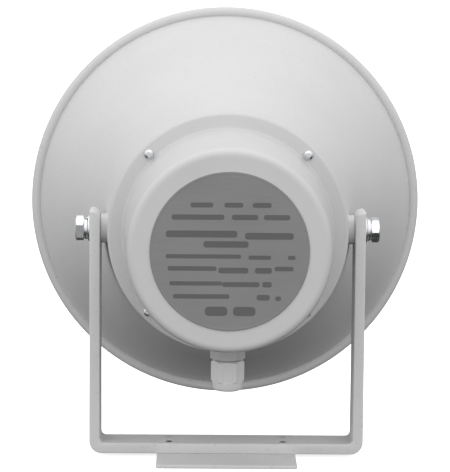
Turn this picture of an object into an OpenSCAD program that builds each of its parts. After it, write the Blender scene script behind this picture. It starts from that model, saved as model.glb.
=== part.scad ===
// Re-entrant alarm horn on a U-shaped bracket.
// The mouth faces -Y, the cable gland points down, the bolts of the tilt hinge lie along X.
// The origin is on the foot plate's underside, straight below the hinge. All sizes are in millimetres.

/* [Bell] */
// Radius of the bell at the outside of its rolled lip
mouth_r = 124; // [112:1:150]
// Distance from the rear flange to the middle of the lip
bell_len = 171; // [140:1:206]
// Wall of the bell
bell_wall = 2; // [1.5:0.1:3]
// Radius of the lip's bead
lip_r = 3; // [2:0.1:4]
// Height of the lip above the underside of the foot
lip_rise = 7.5; // [4:0.5:60]
// How far the bell's neck is set in from the edge of the rear flange
neck_step = 1; // [0.5:0.1:3]
// How much the bell's neck widens from its flange to the front of the bracket's legs
neck_flare = 5; // [4:0.5:8]
// How far in front of the hinge the bell stays narrower than the bracket
neck_reach = 16; // [15:0.5:24]
// Thickness of the bell's rear ring, which takes the cap's screws
ring_t = 6.5; // [5:0.5:9]

/* [Hinge] */
// Distance from the rear flange forward to the hinge axis
hinge_u = 22; // [21:0.5:26]
// Diameter of the two pivot bosses
boss_d = 16.8; // [15:0.1:20]
// Diameter of the pivot bolts
bolt_d = 8; // [6:1:10]
// Width of the bolt heads across flats
bolt_af = 13; // [10:0.5:17]
// Height of the bolt heads
bolt_head_h = 5.3; // [4:0.1:7]
// Length of the bolts under the head
bolt_len = 20; // [16:1:24]
// Diameter of the spring washers
spring_washer_d = 13; // [12:0.5:14.8]
// Thickness of the spring washers
spring_washer_t = 1.9; // [1.5:0.1:2.5]
// Diameter of the flat washers
flat_washer_d = 15; // [14:0.5:17]
// Thickness of the flat washers
flat_washer_t = 1.2; // [1:0.1:2]
// Radial running clearance of the bolts in the bracket
hinge_gap = 0.08; // [0.02:0.01:0.1]
// Wall of the threaded inserts in the bosses
insert_wall = 1.5; // [1:0.1:2]

/* [Bracket] */
// Gap between the bell's neck and each of the bracket's legs
leg_clearance = 0.5; // [0.3:0.1:5]
// Width of the flat bar
bar_w = 25; // [20:1:30]
// Thickness of the flat bar
bar_t = 6; // [4:0.5:7]
// Height of the legs' tops above the hinge axis
leg_top = 11; // [10:0.5:16]
// Radius of the rounding on the inner side of the legs' tops
leg_top_r = 5; // [2:0.5:5]
// Radius of the front and rear corners of the legs' tops
leg_corner_r = 2; // [1:0.5:6]
// Inner radius of the bar's bends
bend_r = 3; // [2:0.5:5]

/* [Foot] */
// Length of the foot plate along the bar
foot_x = 80; // [72:1:120]
// How far the foot plate reaches behind the bar's middle
foot_rear = 42; // [30:1:60]
// How far the foot plate reaches in front of the bar's middle
foot_front = 34; // [30:1:60]
// Thickness of the foot plate
foot_t = 2; // [1.5:0.1:4]
// Radius of the foot plate's corners
foot_corner_r = 2; // [1:0.5:6]
// Distance between the two tapped mounting holes
mount_pitch = 50; // [40:1:56]
// Core diameter of the tapped mounting holes
mount_core_d = 5; // [4.2:0.1:5]
// Depth of the tapped holes into the bar
mount_depth_in_bar = 3.8; // [2.5:0.1:4]
// Distance between the rivets along the bar
rivet_pitch_x = 66; // [64:1:70]
// Distance between the rivets across the bar
rivet_pitch_y = 13; // [10:0.5:14]
// Diameter of the rivets
rivet_d = 4; // [3:0.5:5]

/* [Rear cap] */
// Distance from the flange to the flat rear face
cap_depth = 78; // [68:1:95]
// Outer radius of the cap's side at the flange
cap_base_r = 59; // [57:0.5:72]
// How much the cap's radius tapers from its flange to its shoulder
cap_taper = 4.1; // [2:0.1:5]
// Radius of the rounded shoulder
shoulder_r = 4.5; // [3:0.5:7]
// Wall of the cap
cap_wall = 3; // [2:0.1:3.5]
// Thickness of the cap's flange
cap_flange_t = 4; // [3:0.5:6]
// Radius of the fillet between the cap's side and flange
cap_fillet_r = 1.6; // [1:0.1:1.6]
// Rounding of the flange's edge
flange_edge_r = 2; // [1:0.5:2.5]
// Thickness of the cap's gasket
gasket_t = 1.5; // [1:0.1:3]
// Radius of the rating plate
plate_r = 42.7; // [35:0.1:46]
// Thickness of the rating plate
plate_t = 0.6; // [0.4:0.1:1.5]
// Distance from the cap's side out to the circle that its screws lie on
screw_land = 4.5; // [4.5:0.1:7]
// Distance from that circle out to the flange's edge
flange_rim = 5; // [4:0.1:8]
// Diameter of the cap's screws
cap_screw_d = 3; // [2.5:0.5:4]
// Diameter of the cap's screw heads
cap_screw_head_d = 5.6; // [5:0.1:7]
// Height of the cap's screw heads
cap_screw_head_h = 2.2; // [1.8:0.1:3]
// Length of the cap's screws under the head
cap_screw_len = 10; // [9:0.5:11]

/* [Cable gland] */
// Distance from the flange back to the gland's axis
gland_u = 33; // [30:0.5:45]
// How far the gland's flat seat stands out of the cap's side
gland_seat_step = 1; // [0.8:0.1:4]
// Width of the gland body's collar across flats
gland_collar_af = 16.8; // [15:0.1:20]
// Height of the gland body's collar
gland_collar_h = 7; // [4:0.1:8]
// Width of the dome nut across flats
gland_nut_af = 16; // [14.5:0.1:20]
// Length of the dome nut's hexagon
gland_nut_hex_h = 12; // [11:0.5:15]
// Length of the dome nut's tapered end
gland_nut_dome_h = 4.8; // [3:0.1:6]
// Diameter of the gland's thread
gland_thread_d = 12; // [12:0.1:14]
// Diameter of the cable hole
gland_bore_d = 6.5; // [5:0.1:7]
// Wall of the sealing sleeve inside the nut
gland_seal_wall = 1.1; // [0.8:0.1:1.4]

/* [Driver] */
// Gap between the bulkhead's edge and the bell's rear ring
bulkhead_gap = 1; // [0.5:0.1:2]
// Thickness of the bulkhead
bulkhead_t = 4; // [3:0.5:6]
// Radius of the driver's throat plate and top plate
throat_plate_r = 44; // [42:0.5:45]
// Thickness of the driver's throat plate
throat_plate_t = 6; // [5:0.5:8]
// Radius of the throat at the driver
throat_r = 12.5; // [10:0.5:14]
// Thickness of the top plate
top_plate_t = 6; // [4:0.5:8]
// How far the driver's plates stand out past the magnet ring
plate_overhang = 1; // [0:0.5:3]
// Gap between the yoke's pole and the magnet ring
magnet_gap = 7; // [4:0.5:10]
// Thickness of the magnet ring
magnet_t = 16; // [10:0.5:20]
// Thickness of the yoke's plate
yoke_t = 6; // [4:0.5:8]
// Radius of the yoke's pole
pole_r = 18; // [15:0.1:20]
// Free gap on each side of the voice coil
coil_gap = 0.4; // [0.3:0.05:0.6]
// Thickness of the voice coil's former
former_t = 0.3; // [0.2:0.05:0.4]
// Thickness of the voice coil's winding
winding_t = 0.7; // [0.5:0.05:1]
// Length of the voice coil's winding
winding_len = 8; // [7:0.5:10]
// Height of the diaphragm's dome
dome_h = 5; // [4:0.1:7]
// Thickness of the diaphragm
dome_t = 0.4; // [0.3:0.05:0.6]
// Travel of the diaphragm each way
travel = 0.4; // [0.2:0.05:0.6]

/* [Throat and reflector] */
// Length of the throat tube in front of the bulkhead
tube_len = 83; // [70:1:95]
// Inner radius of the throat tube at its front end
tube_end_r = 21; // [18:0.5:24]
// Wall of the throat tube
tube_wall = 2; // [1.5:0.1:3]
// Outer radius of the reflector at its rear edge
reflector_r = 50; // [46:0.5:52]
// Outer radius of the reflector where its dome begins
reflector_waist_r = 47; // [44:0.5:50]
// Distance from the bulkhead's front to the reflector's rear edge
reflector_start = 23; // [20:1:30]
// Length of the reflector's side
reflector_side = 54; // [46:1:62]
// Height of the reflector's dome
reflector_dome_h = 40; // [32:1:48]
// Wall of the reflector
reflector_wall = 2; // [1.5:0.1:3]

/* [Transformer and terminals] */
// Distance between the yoke and the chassis plate
pillar_len = 7; // [6:0.5:10]
// Thickness of the chassis plate
chassis_t = 1.5; // [1:0.1:2]
// Width of the transformer's core
core_x = 48; // [42:1:52]
// Height of the transformer's core
core_z = 40; // [36:1:42]
// Thickness of the transformer's core
core_t = 16; // [12:1:18]
// Thickness of the transformer's winding over the core
coil_over = 7; // [6:0.5:8]
// Width of the terminal block
terminal_x = 36; // [30:1:40]
// Height of the terminal block
terminal_z = 15; // [12:0.5:16]
// Depth of the terminal block
terminal_depth = 17; // [14:0.5:20]
// Diameter of the inner wires
wire_d = 1.6; // [1.2:0.1:2]

/* [Hidden] */

$fn = 96;
paint = [0.78, 0.78, 0.78];
eps = 0.01;

// Places along the horn's axis, forward from the rear face of the flange
ring_u = cap_flange_t + gasket_t;
ring_front_u = ring_u + ring_t;
shelf_t = 3;
shelf_w = 12;
bulkhead_u = hinge_u + boss_d/2 + 0.6;
bulkhead_front_u = bulkhead_u + bulkhead_t;
throat_plate_u = bulkhead_u - throat_plate_t;
surround_t = 0.8;
surround_u = throat_plate_u - surround_t;
diaphragm_ring_t = 6.2;
top_plate_front_u = surround_u - diaphragm_ring_t;
top_plate_u = top_plate_front_u - top_plate_t;
magnet_u = top_plate_u - magnet_t;
yoke_u = magnet_u - yoke_t;
chassis_u = yoke_u - pillar_len - chassis_t;
axis_z = mouth_r + lip_rise;
flange_y = hinge_u;

// Radii that follow the rear cap outwards to the bracket
cap_screw_circle_r = cap_base_r + screw_land;
flange_r = cap_screw_circle_r + flange_rim;
neck_r = flange_r - neck_step;
neck_end_r = neck_r + neck_flare;
leg_gap = 2*(neck_end_r + leg_clearance);
ring_lip = 2;
ring_in_r = cap_base_r - ring_lip;
bulkhead_r = ring_in_r - bulkhead_gap;
cap_end_r = cap_base_r - cap_taper;

// Where the bell's outline passes, as a quadratic through three places
cone_end_u = bell_len - lip_r;
cone_end_r = mouth_r - 2*lip_r;
neck_end_u = hinge_u + neck_reach;
lead = neck_end_u - ring_u;
whole = cone_end_u - ring_u;
bend = ((cone_end_r - neck_r)/whole - (neck_end_r - neck_r)/lead)/(whole - lead);
slope = (neck_end_r - neck_r)/lead - bend*lead;
function bell_r(u) = neck_r + slope*(u - ring_u) + bend*pow(u - ring_u, 2);

// A curved outline from one place to another
bell_steps = 24;
function bell_curve(u0, u1, inset) =
    [for (i = [0:bell_steps]) let (u = u0 + (u1 - u0)*i/bell_steps) [bell_r(u) - inset, u]];
function arc(x, y, r, from, to, n = 8) =
    [for (i = [0:n]) let (a = from + (to - from)*i/n) [x + r*cos(a), y + r*sin(a)]];

// Children drawn along +Z, with +Y up, are turned to lie along the horn's axis
module on_axis() {
    translate([0, flange_y, axis_z]) rotate([90, 0, 0]) children();
}

// A body of revolution about the horn's axis, from [radius, place] pairs
module lathe(points) {
    on_axis() rotate_extrude() polygon(points);
}

// Children repeated round the horn's axis
module around(count, first = 0) {
    for (i = [0:count - 1]) rotate([0, 0, first + 360*i/count]) children();
}

module ring(r_out, r_in, t) {
    difference() {
        cylinder(r = r_out, h = t);
        translate([0, 0, -eps]) cylinder(r = r_in, h = t + 2*eps);
    }
}

// A round wire swept along a route that never runs along X
module wire(route) {
    sides = 8;
    last = len(route) - 1;
    points = [for (i = [0:last]) let (
        step = route[min(i + 1, last)] - route[max(i - 1, 0)],
        side = cross(step, [1, 0, 0])/norm(cross(step, [1, 0, 0])),
        up = cross(side, step)/norm(step)
    ) for (k = [0:sides - 1]) let (a = 360*k/sides)
        route[i] + wire_d/2*(cos(a)*side + sin(a)*up)];
    polyhedron(points, concat(
        [[for (k = [0:sides - 1]) k]],
        [[for (k = [sides - 1:-1:0]) last*sides + k]],
        [for (i = [0:last - 1], k = [0:sides - 1]) let (n = (k + 1)%sides)
            [i*sides + k, (i + 1)*sides + k, (i + 1)*sides + n, i*sides + n]]
    ));
}

// A hexagon across its flats, with one flat facing +X
module hexagon(af) {
    rotate(30) circle(r = af/2/cos(30), $fn = 6);
}

// --- Bracket ---------------------------------------------------------------

module u_outline(half, bottom, r) {
    translate([-half, bottom + r]) square([2*half, axis_z + bar_w]);
    translate([-half + r, bottom]) square([2*(half - r), axis_z]);
    for (s = [-1, 1]) translate([s*(half - r), bottom + r]) circle(r = r);
}

module mount_holes(depth) {
    for (s = [-1, 1])
        translate([s*mount_pitch/2, 0, -eps]) cylinder(d = mount_core_d, h = depth + eps);
}

module rivet_places() {
    for (x = [-1, 1], y = [-1, 1])
        translate([x*rivet_pitch_x/2, y*rivet_pitch_y/2, 0]) children();
}

module bracket() {
    half = leg_gap/2 + bar_t;
    color(paint) difference() {
        intersection() {
            translate([0, bar_w/2, 0]) rotate([90, 0, 0]) linear_extrude(bar_w) difference() {
                u_outline(half, foot_t, bend_r + bar_t);
                u_outline(leg_gap/2, foot_t + bar_t, bend_r);
            }
            translate([-half - 1, 0, 0]) rotate([90, 0, 90]) linear_extrude(2*half + 2) {
                translate([-bar_w/2, 0]) square([bar_w, axis_z + leg_top - leg_corner_r]);
                translate([-bar_w/2 + leg_corner_r, 0])
                    square([bar_w - 2*leg_corner_r, axis_z + leg_top]);
                for (s = [-1, 1])
                    translate([s*(bar_w/2 - leg_corner_r), axis_z + leg_top - leg_corner_r])
                        circle(r = leg_corner_r);
            }
        }
        for (s = [-1, 1]) translate([s*(leg_gap/2 + leg_top_r), bar_w, axis_z + leg_top - leg_top_r])
            rotate([90, 0, 0]) linear_extrude(2*bar_w) difference() {
                translate([s > 0 ? -2*leg_top_r : 0, 0]) square([2*leg_top_r, 2*leg_top_r]);
                circle(r = leg_top_r);
            }
        translate([-half - 1, 0, axis_z]) rotate([0, 90, 0])
            cylinder(r = bolt_d/2 + hinge_gap, h = 2*half + 2);
        translate([0, 0, foot_t]) mount_holes(mount_depth_in_bar);
        rivet_places() cylinder(d = rivet_d, h = foot_t + bar_t + 1);
    }
}

module foot_plate() {
    foot_y = foot_front + foot_rear;
    color(paint) difference() {
        linear_extrude(foot_t) translate([0, foot_rear - foot_y/2]) {
            square([foot_x - 2*foot_corner_r, foot_y], center = true);
            square([foot_x, foot_y - 2*foot_corner_r], center = true);
            for (x = [-1, 1], y = [-1, 1])
                translate([x*(foot_x/2 - foot_corner_r), y*(foot_y/2 - foot_corner_r)])
                    circle(r = foot_corner_r);
        }
        mount_holes(foot_t + 1);
        rivet_places() rivet_shape(foot_t + 1);
    }
}

// Countersunk from below, with a plain shank
module rivet_shape(height) {
    head_h = foot_t*0.7;
    cylinder(d1 = rivet_d + 2*head_h, d2 = rivet_d, h = head_h);
    cylinder(d = rivet_d, h = height);
}

module foot_rivets() {
    color(paint) rivet_places() rivet_shape(foot_t + bar_t);
}

// --- Bell and hinge ----------------------------------------------------------

module at_hinge(side) {
    translate([0, 0, axis_z]) rotate([0, side*90, 0]) children();
}

insert_len = 10;
boss_start = ring_in_r + 2.5;
bell_flange_t = 3;
insert_r = bolt_d/2 + insert_wall;

module bell() {
    shelf_u = bulkhead_front_u;
    shelf_in_r = bulkhead_r - shelf_w;
    wall_start_u = ring_front_u;
    color(paint) difference() {
        union() {
            lathe(concat(
                [[ring_in_r, ring_u], [flange_r, ring_u], [flange_r, ring_u + bell_flange_t]],
                bell_curve(ring_u + bell_flange_t + neck_step, cone_end_u, 0),
                arc(mouth_r - lip_r, bell_len, lip_r, -90, 200, 14),
                bell_curve(cone_end_u, shelf_u + shelf_t, bell_wall),
                [[shelf_in_r, shelf_u + shelf_t], [shelf_in_r, shelf_u]],
                bell_curve(shelf_u, wall_start_u, bell_wall),
                [[ring_in_r, wall_start_u]]
            ));
            for (s = [-1, 1]) at_hinge(s) translate([0, 0, boss_start])
                cylinder(d = boss_d, h = leg_gap/2 - boss_start);
        }
        for (s = [-1, 1]) at_hinge(s) {
            translate([0, 0, leg_gap/2 - insert_len]) cylinder(r = insert_r, h = insert_len + 1);
            translate([0, 0, boss_start - 1]) cylinder(d = bolt_d + 0.4, h = insert_len + 4);
        }
        on_axis() around(4, 45) translate([cap_screw_circle_r, 0, ring_u - 1])
            cylinder(d = cap_screw_d, h = ring_t, $fn = 32);
        on_axis() around(4, 45) translate([bulkhead_screw_r, 0, shelf_u - 1])
            cylinder(d = bulkhead_screw_d, h = shelf_t + 2, $fn = 32);
    }
}

module pivot_inserts() {
    color("goldenrod") for (s = [-1, 1]) at_hinge(s)
        translate([0, 0, leg_gap/2 - insert_len]) ring(insert_r, bolt_d/2, insert_len);
}

bolt_head_x = leg_gap/2 + bar_t + flat_washer_t + spring_washer_t;

module pivot_bolts() {
    turn = [20, 44];
    color("silver") for (i = [0, 1]) at_hinge(2*i - 1) {
        translate([0, 0, bolt_head_x]) intersection() {
            rotate(turn[i]) linear_extrude(bolt_head_h) hexagon(bolt_af);
            rotate_extrude() polygon([
                [0, 0], [bolt_af, 0], [bolt_af, bolt_head_h - bolt_af/2],
                [bolt_af/2, bolt_head_h], [0, bolt_head_h]
            ]);
        }
        translate([0, 0, bolt_head_x - bolt_len]) cylinder(d = bolt_d, h = bolt_len);
    }
}

module spring_washers() {
    split = 1;
    color("silver") for (s = [-1, 1]) at_hinge(s)
        translate([0, 0, bolt_head_x - spring_washer_t]) difference() {
            ring(spring_washer_d/2, bolt_d/2 + 0.1, spring_washer_t);
            rotate([20, 0, 60*s]) translate([0, -split/2, -3]) cube([bolt_d, split, 9]);
        }
}

module flat_washers() {
    color("silver") for (s = [-1, 1]) at_hinge(s)
        translate([0, 0, leg_gap/2 + bar_t]) ring(flat_washer_d/2, bolt_d/2 + 0.2, flat_washer_t);
}

// --- Rear cap ----------------------------------------------------------------

// Outer radius of the cap's side
function cap_r(u) = cap_base_r + (cap_base_r - cap_end_r)*u/(cap_depth - shoulder_r);

module cap_screw_holes(from, length) {
    on_axis() around(4, 45) translate([cap_screw_circle_r, 0, from])
        cylinder(d = cap_screw_d + 0.4, h = length, $fn = 32);
}

gland_seat = cap_r(-gland_u) + gland_seat_step;

module at_gland(along = 0) {
    translate([0, flange_y + gland_u, axis_z - along]) rotate([180, 0, 0]) children();
}

cap_in_end_u = -cap_depth + cap_wall;

module rear_cap() {
    inner_r = shoulder_r - 1;
    seat_d = gland_collar_af + 4;
    pad_h = 8;
    cut_depth = 15;
    color(paint) difference() {
        union() {
            lathe(concat(
                [[0, -cap_depth]],
                arc(cap_end_r - shoulder_r, -cap_depth + shoulder_r, shoulder_r, 270, 360),
                arc(cap_r(-cap_fillet_r) + cap_fillet_r, -cap_fillet_r, cap_fillet_r, 180, 90),
                arc(flange_r - flange_edge_r, flange_edge_r, flange_edge_r, 270, 360),
                [[flange_r, cap_flange_t], [cap_base_r - cap_wall, cap_flange_t]],
                arc(cap_end_r - cap_wall - inner_r, cap_in_end_u + inner_r, inner_r, 360, 270),
                [[0, cap_in_end_u]]
            ));
            at_gland(gland_seat - pad_h) cylinder(d = seat_d, h = pad_h);
        }
        lathe([
            [0, cap_in_end_u + inner_r], [cap_end_r - cap_wall, cap_in_end_u + inner_r],
            [cap_base_r - cap_wall, cap_flange_t + eps], [0, cap_flange_t + eps]
        ]);
        at_gland(gland_seat - cut_depth) cylinder(d = gland_thread_d + 0.4, h = cut_depth + 5);
        at_gland(gland_seat - cut_depth) cylinder(d = seat_d - 0.4, h = cut_depth - gland_wall);
        cap_screw_holes(-1, cap_flange_t + 2);
    }
}

module cap_gasket() {
    color("dimgray") difference() {
        on_axis() translate([0, 0, cap_flange_t]) ring(flange_r - 1, ring_in_r, gasket_t);
        cap_screw_holes(cap_flange_t - 1, gasket_t + 2);
    }
}

module cross_recess(width, depth) {
    for (a = [0, 90]) rotate(a) translate([-width/2, -width/8, -depth])
        cube([width, width/4, depth + 1]);
}

// Diameter and height of the pan heads
m3_head = [5.5, 1.8];
m4_head = [7.5, 2.6];
m4_low_head = [7.5, 1.9];
m5_head = [10, 3];

// A screw that points along +Z, with its pan head behind z = 0
module pan_screw(d, head, length) {
    head_d = head[0];
    head_h = head[1];
    difference() {
        rotate_extrude($fn = 48) polygon(concat(
            [[0, -head_h]],
            arc(head_d/2 - head_h*0.6, -head_h*0.4, head_h*0.6, 270, 360, 6),
            [[head_d/2, 0], [d/2, 0], [d/2, length], [0, length]]
        ));
        translate([0, 0, -head_h]) rotate([180, 0, 0]) cross_recess(head_d*0.6, head_h*0.6);
    }
}

module cap_screws() {
    color("silver") on_axis() around(4, 45) translate([cap_screw_circle_r, 0, 0])
        pan_screw(cap_screw_d, [cap_screw_head_d, cap_screw_head_h], cap_screw_len);
}

module rating_plate() {
    color("gray") on_axis() translate([0, 0, -cap_depth - plate_t])
        cylinder(r = plate_r, h = plate_t);
}

// --- Cable gland ---------------------------------------------------------------

gland_wall = 3;
gland_washer_t = 1;
gland_fit = 0.1;
gland_neck_h = 10;

module gland_washer() {
    color("dimgray") at_gland(gland_seat) ring(gland_collar_af/2 - 0.5, gland_thread_d/2 + 0.2,
        gland_washer_t);
}

module gland_body() {
    collar_z = gland_seat + gland_washer_t;
    color("lightgray") difference() {
        union() {
            at_gland(collar_z) linear_extrude(gland_collar_h) rotate(30) hexagon(gland_collar_af);
            at_gland(gland_seat - gland_wall - 6)
                cylinder(d = gland_thread_d, h = gland_wall + 6 + gland_washer_t + 1);
            at_gland(collar_z) cylinder(d = gland_thread_d, h = gland_collar_h + gland_neck_h);
        }
        at_gland(gland_seat - 20) cylinder(d = gland_bore_d + 1, h = 60);
        at_gland(collar_z + gland_collar_h + 2)
            cylinder(r = gland_bore_d/2 + gland_seal_wall + gland_fit, h = gland_neck_h);
    }
}

module gland_locknut() {
    color("lightgray") at_gland(gland_seat - gland_wall - 4) difference() {
        linear_extrude(4) hexagon(gland_collar_af);
        translate([0, 0, -1]) cylinder(r = gland_thread_d/2 + 0.05, h = 6);
    }
}

gland_nut_z = gland_seat + gland_washer_t + gland_collar_h + 0.4;

module gland_seal() {
    color("dimgray") at_gland(gland_nut_z + 2) difference() {
        cylinder(r = gland_bore_d/2 + gland_seal_wall, h = gland_nut_hex_h - 3 + 2.4);
        translate([0, 0, -1]) cylinder(d = gland_bore_d, h = gland_nut_hex_h + 3);
    }
}

module gland_nut() {
    end_r = gland_nut_af/2*0.8;
    corner_r = gland_nut_af/2/cos(30);
    height = gland_nut_hex_h + gland_nut_dome_h;
    color("lightgray") at_gland(gland_nut_z) difference() {
        intersection() {
            linear_extrude(height) rotate(30) hexagon(gland_nut_af);
            rotate_extrude() polygon(concat(
                [[0, 0], [corner_r - 0.6, 0], [corner_r, 0.6], [corner_r, gland_nut_hex_h]],
                [[gland_nut_af/2, gland_nut_hex_h + 1.4], [end_r, height], [0, height]]
            ));
        }
        translate([0, 0, -1]) cylinder(r = gland_thread_d/2 + 0.05, h = gland_neck_h + 1.2);
        translate([0, 0, -1]) cylinder(r = gland_bore_d/2 + gland_seal_wall + gland_fit,
            h = gland_nut_hex_h + 2.6);
        cylinder(d = gland_bore_d + 0.4, h = height + 1);
    }
}

// --- Bulkhead, throat and reflector ----------------------------------------------

bulkhead_screw_r = bulkhead_r - 5;
bulkhead_screw_d = 4;
throat_screw_r = 24;
throat_screw_d = 4;
tube_flange_r = 29;
tube_flange_t = 3;
tube_gasket_t = 0.8;
tube_u = bulkhead_front_u + tube_gasket_t;
tube_end_u = tube_u + tube_len;

module throat_screw_holes(from, length, gap) {
    on_axis() around(4) translate([throat_screw_r, 0, from])
        cylinder(d = throat_screw_d + gap, h = length, $fn = 32);
}

module bulkhead() {
    color("silver") difference() {
        on_axis() translate([0, 0, bulkhead_u]) ring(bulkhead_r, throat_r, bulkhead_t);
        throat_screw_holes(bulkhead_u - 1, bulkhead_t + 2, 0.4);
        on_axis() around(4, 45) translate([bulkhead_screw_r, 0, bulkhead_u - 1])
            cylinder(d = bulkhead_screw_d + 0.4, h = bulkhead_t + 2, $fn = 32);
    }
}

module bulkhead_screws() {
    color("silver") on_axis() around(4, 45) translate([bulkhead_screw_r, 0, bulkhead_u])
        pan_screw(bulkhead_screw_d, m4_head, bulkhead_t + shelf_t);
}

module tube_gasket() {
    color("dimgray") difference() {
        on_axis() translate([0, 0, bulkhead_front_u]) ring(tube_flange_r, throat_r, tube_gasket_t);
        throat_screw_holes(bulkhead_front_u - 1, tube_gasket_t + 2, 0.4);
    }
}

module throat_tube() {
    color(paint) difference() {
        lathe([
            [throat_r, tube_u], [tube_flange_r, tube_u], [tube_flange_r, tube_u + tube_flange_t],
            [throat_r + tube_wall + 1.2, tube_u + tube_flange_t],
            [throat_r + tube_wall + 0.8, tube_u + tube_flange_t + 6],
            [tube_end_r + tube_wall, tube_end_u], [tube_end_r, tube_end_u]
        ]);
        throat_screw_holes(tube_u - 1, tube_flange_t + 2, 0.4);
    }
}

module throat_screws() {
    reach = tube_flange_t + tube_gasket_t + bulkhead_t + 4;
    color("silver") on_axis() around(4)
        translate([throat_screw_r, 0, tube_u + tube_flange_t]) rotate([180, 0, 0])
            pan_screw(throat_screw_d, m4_head, reach);
}

reflector_u = bulkhead_front_u + reflector_start;
waist_u = reflector_u + reflector_side;
nose_u = waist_u + reflector_dome_h;
nose_hole_r = 2.7;
dome_turn = 79.2;

// The dome's outline from its waist to the flat at its nose
function dome_curve(inset) =
    [for (i = [0:12]) let (a = dome_turn*i/12)
        [(reflector_waist_r - inset)*cos(a),
         waist_u + (reflector_dome_h - inset)*sin(a)/sin(dome_turn)]];

module reflector() {
    lip = 1.5;
    color(paint) lathe(concat(
        arc(reflector_r - reflector_wall/2, reflector_u, reflector_wall/2 + lip/2, 180, 360, 6),
        dome_curve(0),
        [[nose_hole_r, nose_u], [nose_hole_r, nose_u - reflector_wall]],
        [for (i = [12:-1:0]) dome_curve(reflector_wall)[i]]
    ));
}

spider_spigot = 6;
spider_rim_t = 3;
spider_wall = 2;
spider_arm_w = 2.5;
hub_r = 6;
hub_screw_d = 5;
hub_screw_len = 18;

module reflector_spider() {
    spigot_r = tube_end_r - 0.1 - (tube_end_r - throat_r)*spider_spigot/tube_len;
    hub_len = nose_u - reflector_wall - tube_end_u + spider_spigot;
    color(paint) on_axis() {
        translate([0, 0, tube_end_u])
            ring(tube_end_r + tube_wall, spigot_r - spider_wall, spider_rim_t);
        translate([0, 0, tube_end_u - spider_spigot])
            ring(spigot_r, spigot_r - spider_wall, spider_spigot + eps);
        translate([0, 0, tube_end_u - spider_spigot]) difference() {
            cylinder(r = hub_r, h = hub_len);
            translate([0, 0, hub_len - hub_screw_len - 2])
                cylinder(d = hub_screw_d, h = hub_screw_len + 3);
        }
        translate([0, 0, tube_end_u - spider_spigot]) around(3)
            translate([hub_r - 1, -spider_arm_w/2, 0])
                cube([spigot_r - hub_r, spider_arm_w, spider_spigot]);
    }
}

module reflector_screw() {
    color("silver") on_axis() translate([0, 0, nose_u]) rotate([180, 0, 0])
        pan_screw(hub_screw_d, m5_head, hub_screw_len);
}

// --- Driver ----------------------------------------------------------------------

coil_r = pole_r + coil_gap;
coil_out_r = coil_r + former_t + winding_t;
gap_out_r = coil_out_r + coil_gap;
driver_screw_d = 4;
driver_screw_r = throat_plate_r - driver_screw_d;
driver_head_sink = 2;
driver_hole_floor = 1.5;
magnet_r = throat_plate_r - plate_overhang;
magnet_in_r = pole_r + magnet_gap;

// A dome's outline from its rim at u back to a small flat at its middle
function dome_arc(r, h, u, n = 10) =
    let (big = (r*r + h*h)/(2*h), half = asin(r/big))
        [for (i = [0:n]) let (a = half*(1 - 0.97*i/n)) [big*sin(a), u - h + big*(1 - cos(a))]];

plug_t = 2;
plug_rim = 2;
plug_fit = 0.1;

module throat_plate() {
    recess_r = coil_out_r + 3;
    color("silver") difference() {
        lathe([
            [throat_plate_r, throat_plate_u], [throat_plate_r, bulkhead_u],
            [throat_r + plug_rim, bulkhead_u], [throat_r + plug_rim, bulkhead_u - plug_t],
            [throat_r, bulkhead_u - plug_t], [throat_r - 2, throat_plate_u + 2 + travel],
            [recess_r, throat_plate_u + 0.6], [recess_r, throat_plate_u]
        ]);
        driver_screw_holes(throat_plate_u - 1, throat_plate_t + 2);
        on_axis() around(4, 45) translate([driver_screw_r, 0, bulkhead_u - driver_head_sink])
            cylinder(d = m4_low_head[0] + 0.5, h = driver_head_sink + 1, $fn = 48);
        throat_screw_holes(bulkhead_u - 5, 6, 0);
    }
}

// A rim, three arms and a bullet that the sound flows round
module phase_plug() {
    arm_w = 1.5;
    color("dimgray") on_axis() translate([0, 0, bulkhead_u - plug_t]) {
        ring(throat_r + plug_rim - plug_fit, throat_r, plug_t);
        translate([0, 0, -plug_t]) cylinder(r1 = throat_r - 5.5, r2 = 2, h = 3*plug_t);
        around(3, 90) translate([1, -arm_w/2, 0]) cube([throat_r, arm_w, plug_t]);
    }
}

module driver_screws() {
    reach = bulkhead_u - driver_head_sink - (top_plate_u + driver_hole_floor);
    color("silver") on_axis() around(4, 45)
        translate([driver_screw_r, 0, bulkhead_u - driver_head_sink]) rotate([180, 0, 0])
            pan_screw(driver_screw_d, m4_low_head, reach);
}

module driver_screw_holes(from, length) {
    on_axis() around(4, 45) translate([driver_screw_r, 0, from])
        cylinder(d = driver_screw_d + 0.4, h = length, $fn = 32);
}

surround_in_r = coil_out_r + coil_gap;
surround_seat_r = driver_screw_r - 9;

module diaphragm_ring() {
    color("dimgray") difference() {
        on_axis() translate([0, 0, top_plate_front_u])
            ring(throat_plate_r, surround_seat_r, diaphragm_ring_t);
        driver_screw_holes(top_plate_front_u - 1, diaphragm_ring_t + 2);
    }
}

// The flexible edge: a thin web with one roll, clamped outside surround_seat_r
module surround() {
    roll_r = 2.4;
    thin = 0.35;
    mid_r = (surround_in_r + surround_seat_r)/2;
    web_u = surround_u;
    color("black") difference() {
        lathe(concat(
            [[surround_in_r, web_u], [surround_in_r, web_u + thin]],
            [[mid_r - roll_r, web_u + thin]],
            arc(mid_r, web_u, roll_r - thin, 180, 360, 10),
            [[surround_seat_r, web_u + thin], [surround_seat_r, web_u + surround_t]],
            [[throat_plate_r - 1, web_u + surround_t], [throat_plate_r - 1, web_u]],
            [[mid_r + roll_r, web_u]],
            arc(mid_r, web_u, roll_r, 360, 180, 10)
        ));
        driver_screw_holes(web_u - 1, 3);
    }
}

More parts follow.
